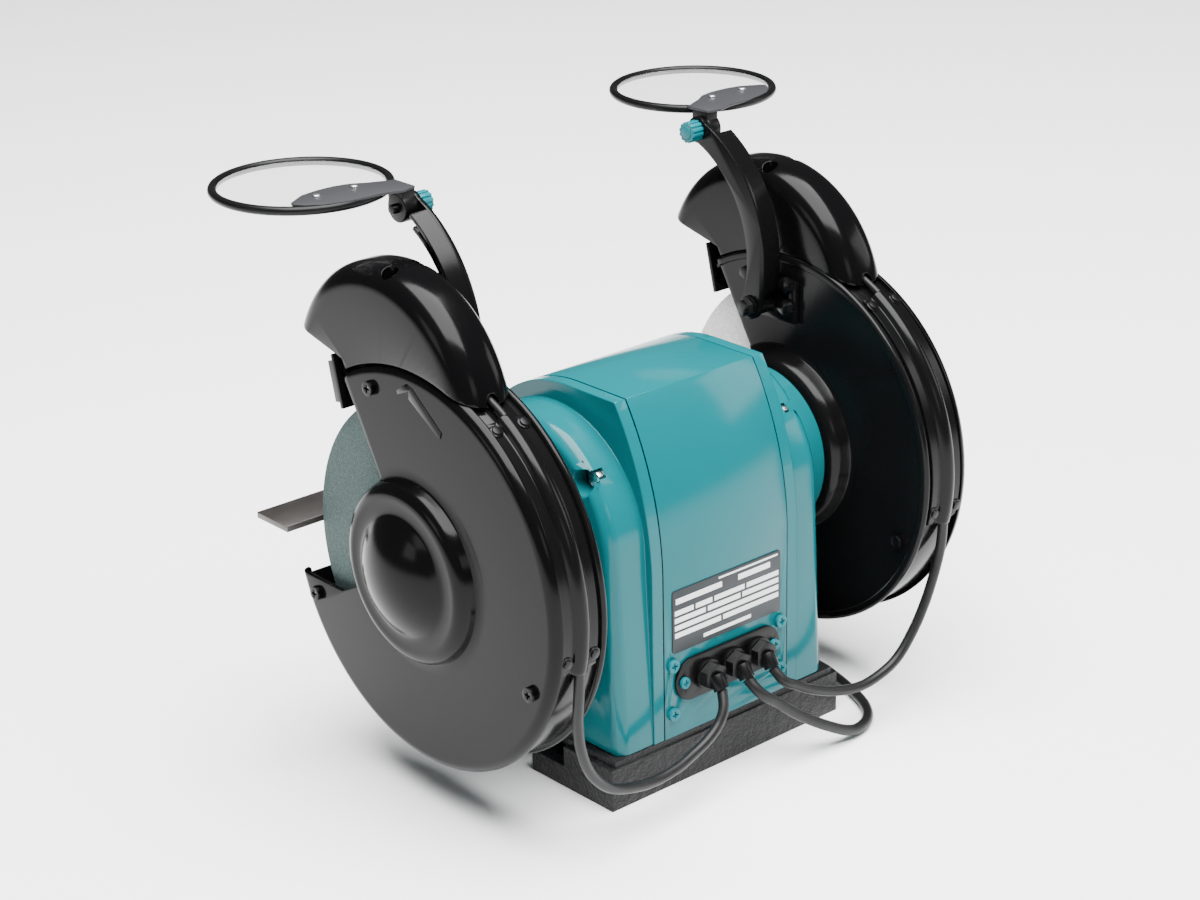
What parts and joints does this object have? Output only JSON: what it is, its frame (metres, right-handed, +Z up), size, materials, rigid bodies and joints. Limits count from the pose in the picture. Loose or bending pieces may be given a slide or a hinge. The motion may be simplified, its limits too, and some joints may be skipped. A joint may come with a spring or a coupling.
{
  "type": "bench grinder",
  "caption": "Double-ended electric bench grinder with guarded abrasive wheels, lamp hoods, tilting eye shields, tool rests and a mains cord.",
  "frame": {"origin": "on the bench, at the middle of the mounting bolt pattern", "axes": "+X along the spindle towards the grey-green wheel, +Y to the back, away from the operator, +Z up"},
  "size_m": [0.426, 0.3335, 0.3668],
  "materials": {
    "teal_enamel": "gloss",
    "black_enamel": "gloss",
    "black_satin": "satin",
    "black_casting": "matte, textured",
    "steel": "machined",
    "laminations": "stacked sheet",
    "zinc_steel": "zinc plated",
    "black_steel": "black oxide",
    "windings": "varnished copper wire, laced",
    "green_wheel": "abrasive grit",
    "white_wheel": "abrasive grit",
    "worn_steel": "worn paint",
    "clear_plastic": "clear",
    "knob_plastic": "ribbed",
    "black_plastic": "satin",
    "red_plastic": "satin",
    "cream_plastic": "satin",
    "bulb_glass": "frosted",
    "can_metal": "drawn",
    "nameplate": null,
    "cord_jacket": "satin"
  },
  "bodies": {
    "frame": {"base_casting": "black_casting", "motor_housing": "teal_enamel", "end_bell_right": "teal_enamel", "end_bell_left": "teal_enamel", "stator_core": "laminations", "stator_windings": "windings", "tie_bolts": "zinc_steel", "bearing_outer_races": "steel", "guard_body_right": "black_satin", "guard_body_left": "black_satin", "guard_cover_right": "black_enamel", "guard_cover_left": "black_enamel", "guard_cover_screws": "black_steel", "guard_bolts": "zinc_steel", "conduit_right": "black_satin", "conduit_left": "black_satin", "conduit_screws": "black_steel", "lamp_hood_right": "black_enamel", "lamp_hood_left": "black_enamel", "hood_screws": "black_steel", "lamp_sockets": "cream_plastic", "lamp_bulbs": "bulb_glass", "deflector_screws": "black_steel", "rest_brackets": "black_satin", "rest_bolts": "black_steel", "arm_brackets": "black_satin", "switch_body": "black_plastic", "capacitor": "can_metal", "terminal_block": "cream_plastic", "nameplate": "nameplate", "gland_plate": "black_plastic", "cable_glands": "black_plastic", "rear_screws": "teal_enamel", "mains_cord": "cord_jacket", "mains_coil": "cord_jacket", "mains_plug": "cord_jacket", "lamp_cords": "cord_jacket"},
    "spindle": {"spindle": "steel", "rotor_core": "laminations", "bearing_inner_races": "steel", "bearing_balls": "steel", "wheel_right": "green_wheel", "wheel_left": "white_wheel", "inner_flanges": "steel", "outer_flanges": "steel", "spindle_nuts": "zinc_steel"},
    "rocker": {"switch_rocker": "red_plastic"},
    "arm_right": {"shield_arm_right": "black_satin"},
    "shield_right": {"shield_frame_right": "black_plastic", "shield_lens_right": "clear_plastic"},
    "knob_right": {"shield_knob_right": "knob_plastic"},
    "deflector_right": {"deflector_right": "black_satin"},
    "tool_rest_right": {"tool_rest_right": "worn_steel"},
    "arm_left": {"shield_arm_left": "black_satin"},
    "shield_left": {"shield_frame_left": "black_plastic", "shield_lens_left": "clear_plastic"},
    "knob_left": {"shield_knob_left": "knob_plastic"},
    "deflector_left": {"deflector_left": "black_satin"},
    "tool_rest_left": {"tool_rest_left": "worn_steel"}
  },
  "joints": [
    {"name": "spindle_spin", "type": "hinge", "parent": "frame", "child": "spindle", "pos_m": [0, 0, 0.155], "axis": [1, 0, 0], "continuous": true},
    {"name": "arm_swing_right", "type": "hinge", "parent": "frame", "child": "arm_right", "pos_m": [0.1155, -0.01307, 0.24627], "axis": [1, 0, 0], "range_deg": [-4, 25]},
    {"name": "shield_tilt_right", "type": "hinge", "parent": "arm_right", "child": "shield_right", "pos_m": [0.122, -0.06082, 0.353], "axis": [1, 0, 0], "range_deg": [-25, 50]},
    {"name": "knob_turn_right", "type": "hinge", "parent": "arm_right", "child": "knob_right", "pos_m": [0.11, -0.06082, 0.353], "axis": [1, 0, 0], "range_deg": [-180, 180]},
    {"name": "deflector_slide_right", "type": "slide", "parent": "frame", "child": "deflector_right", "axis": [0, -0.225, 0.9744], "range_m": [-0.0015, 0.0008]},
    {"name": "rest_slide_right", "type": "slide", "parent": "frame", "child": "tool_rest_right", "axis": [0, 1, 0], "range_m": [-0.0065, 0.003]},
    {"name": "arm_swing_left", "type": "hinge", "parent": "frame", "child": "arm_left", "pos_m": [-0.1155, -0.01307, 0.24627], "axis": [1, 0, 0], "range_deg": [-4, 25]},
    {"name": "shield_tilt_left", "type": "hinge", "parent": "arm_left", "child": "shield_left", "pos_m": [-0.122, -0.06082, 0.353], "axis": [1, 0, 0], "range_deg": [-25, 50]},
    {"name": "knob_turn_left", "type": "hinge", "parent": "arm_left", "child": "knob_left", "pos_m": [-0.11, -0.06082, 0.353], "axis": [1, 0, 0], "range_deg": [-180, 180]},
    {"name": "deflector_slide_left", "type": "slide", "parent": "frame", "child": "deflector_left", "axis": [0, -0.225, 0.9744], "range_m": [-0.0015, 0.0008]},
    {"name": "rest_slide_left", "type": "slide", "parent": "frame", "child": "tool_rest_left", "axis": [0, 1, 0], "range_m": [-0.0065, 0.003]},
    {"name": "rocker_tip", "type": "hinge", "parent": "frame", "child": "rocker", "pos_m": [0, -0.082, 0.067], "axis": [1, 0, 0], "range_deg": [-8, 8]}
  ]
}
